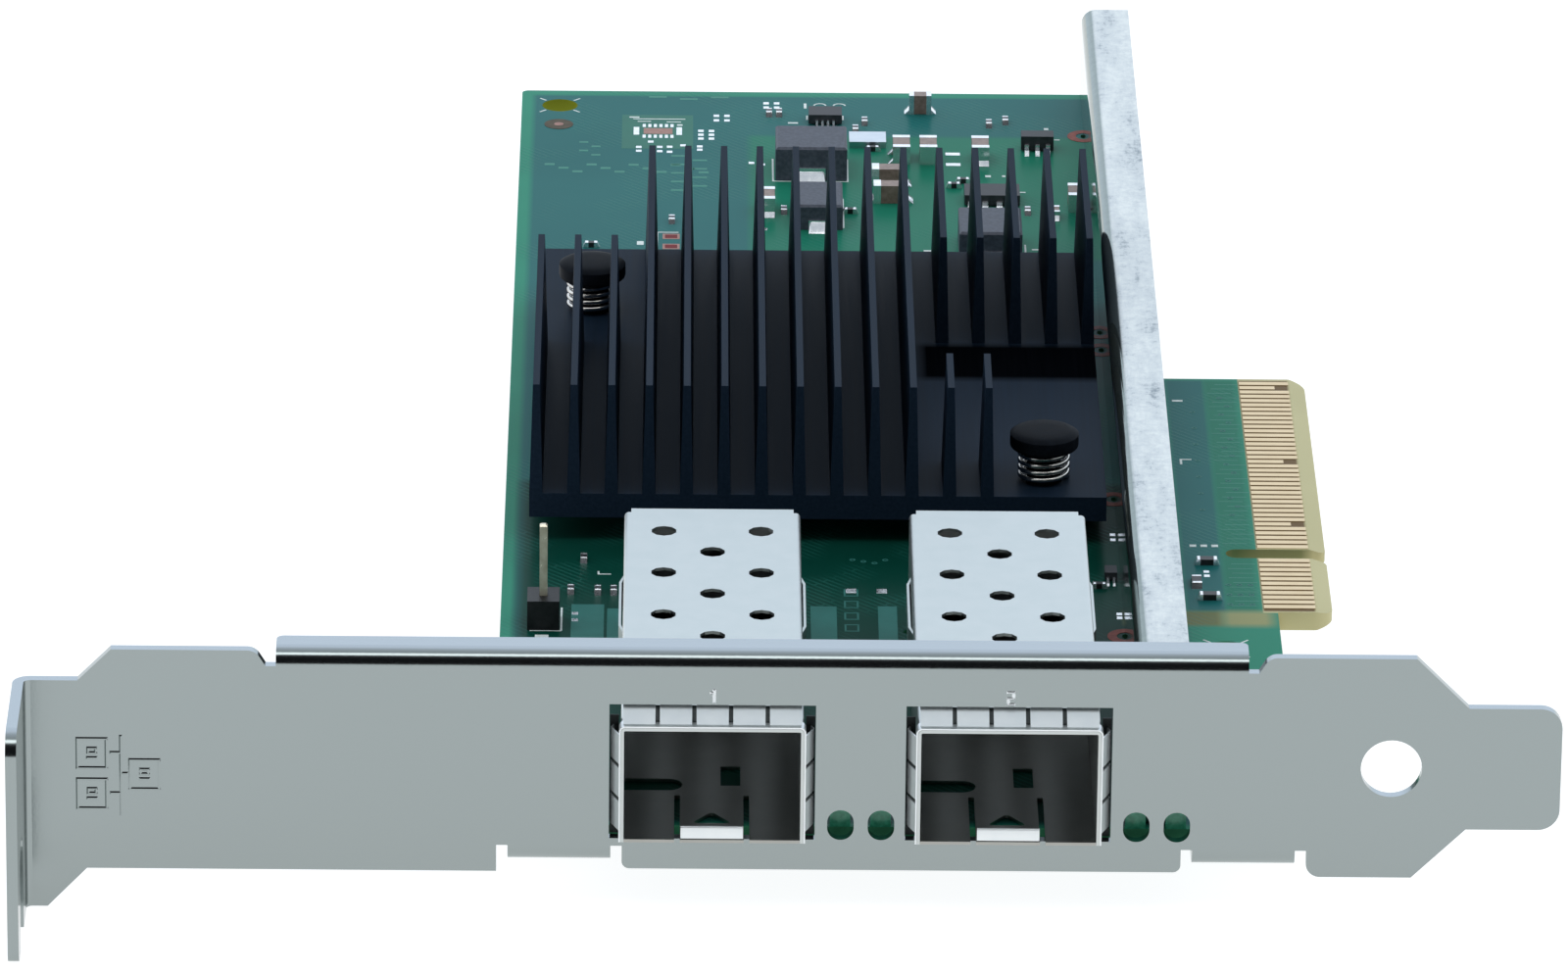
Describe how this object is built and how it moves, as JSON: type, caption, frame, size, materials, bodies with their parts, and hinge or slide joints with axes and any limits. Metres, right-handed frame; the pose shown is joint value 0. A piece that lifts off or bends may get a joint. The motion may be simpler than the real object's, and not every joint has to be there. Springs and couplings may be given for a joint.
{
  "type": "network interface card",
  "caption": "Low-profile network card on a full-height slot bracket, with pluggable-module cages, finned heatsink, stiffener bar and a gold edge connector.",
  "frame": {"origin": "middle of the key notch at the outer edge of the edge connector, on the component side of the board", "axes": "+X into the slot, +Y away from the bracket along the board, +Z off the component side"},
  "size_m": [0.12, 0.181, 0.0217],
  "materials": {
    "circuit_board": "satin solder mask",
    "gold_contacts": "polished",
    "nickel_bracket": "satin",
    "screw_steel": "polished",
    "cage_sheet": "satin",
    "collar_sheet": "bright",
    "black_moulding": "matt",
    "black_anodised": "matt anodised",
    "package_laminate": "satin",
    "package_lid": "satin",
    "thermal_compound": "matt",
    "pin_nylon": "satin",
    "spring_wire": "bright",
    "galvanised_bar": "spangled zinc",
    "tinned_pin": "bright",
    "lamp_resin": "clear resin",
    "inductor_grey": "matt",
    "oscillator_can": "satin",
    "chip_epoxy": "matt",
    "ceramic_body": "satin",
    "solder_tin": "bright",
    "chip_resistor": "satin"
  },
  "bodies": {
    "root": {"bracket_screws": "screw_steel", "cage_base_a": "cage_sheet", "cage_base_b": "cage_sheet", "cage_cover_a": "cage_sheet", "cage_cover_b": "cage_sheet", "capacitor_bodies": "ceramic_body", "capacitor_ends": "solder_tin", "chip_resistors": "chip_resistor", "circuit_board": "circuit_board", "controller_base": "package_laminate", "controller_lid": "package_lid", "edge_contacts_bottom": "gold_contacts", "edge_contacts_top": "gold_contacts", "header_block": "black_moulding", "header_pin": "tinned_pin", "heatsink": "black_anodised", "host_connector_a": "black_moulding", "host_connector_b": "black_moulding", "host_contacts_a": "gold_contacts", "host_contacts_b": "gold_contacts", "inductor_large": "inductor_grey", "inductor_large_tags": "solder_tin", "inductor_side": "inductor_grey", "inductor_side_tags": "solder_tin", "inductor_small": "inductor_grey", "inductor_small_tags": "solder_tin", "memory_chip": "chip_epoxy", "memory_chip_leads": "solder_tin", "mounting_bracket": "nickel_bracket", "oscillator_can": "oscillator_can", "pin_spring_far": "spring_wire", "pin_spring_near": "spring_wire", "port_lamps": "lamp_resin", "push_pin_far": "pin_nylon", "push_pin_near": "pin_nylon", "regulator_chip": "chip_epoxy", "regulator_chip_leads": "solder_tin", "sensor_chip": "chip_epoxy", "sensor_chip_leads": "solder_tin", "spring_collar_a": "collar_sheet", "spring_collar_b": "collar_sheet", "stiffener_bar": "galvanised_bar", "switch_chip": "chip_epoxy", "switch_chip_leads": "solder_tin", "thermal_pad": "thermal_compound", "underside_capacitors": "ceramic_body"}
  },
  "joints": []
}
